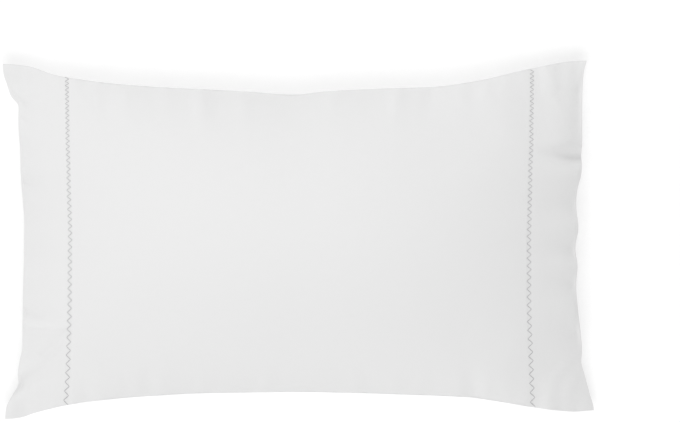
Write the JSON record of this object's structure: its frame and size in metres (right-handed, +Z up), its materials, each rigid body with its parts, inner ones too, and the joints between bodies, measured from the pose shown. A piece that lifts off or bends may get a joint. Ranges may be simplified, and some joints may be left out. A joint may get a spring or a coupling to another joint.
{
  "type": "pillowcase",
  "caption": "White cotton pillowcase, filled and lying on its back, with pointed ears, drawn-in sides, a deep hem at each end and a slit mouth at one end.",
  "frame": {"origin": "on the resting surface, under the middle of the outline", "axes": "+Z up, out of the middle of the front face; +X towards the open end; +Y towards the far side, the upper edge of the front face"},
  "size_m": [0.8032, 0.4874, 0.18],
  "materials": {
    "cotton": "matte fine plain weave",
    "thread": "matte grey stitching thread"
  },
  "bodies": {
    "root": {"pillowcase": "cotton"}
  },
  "joints": []
}
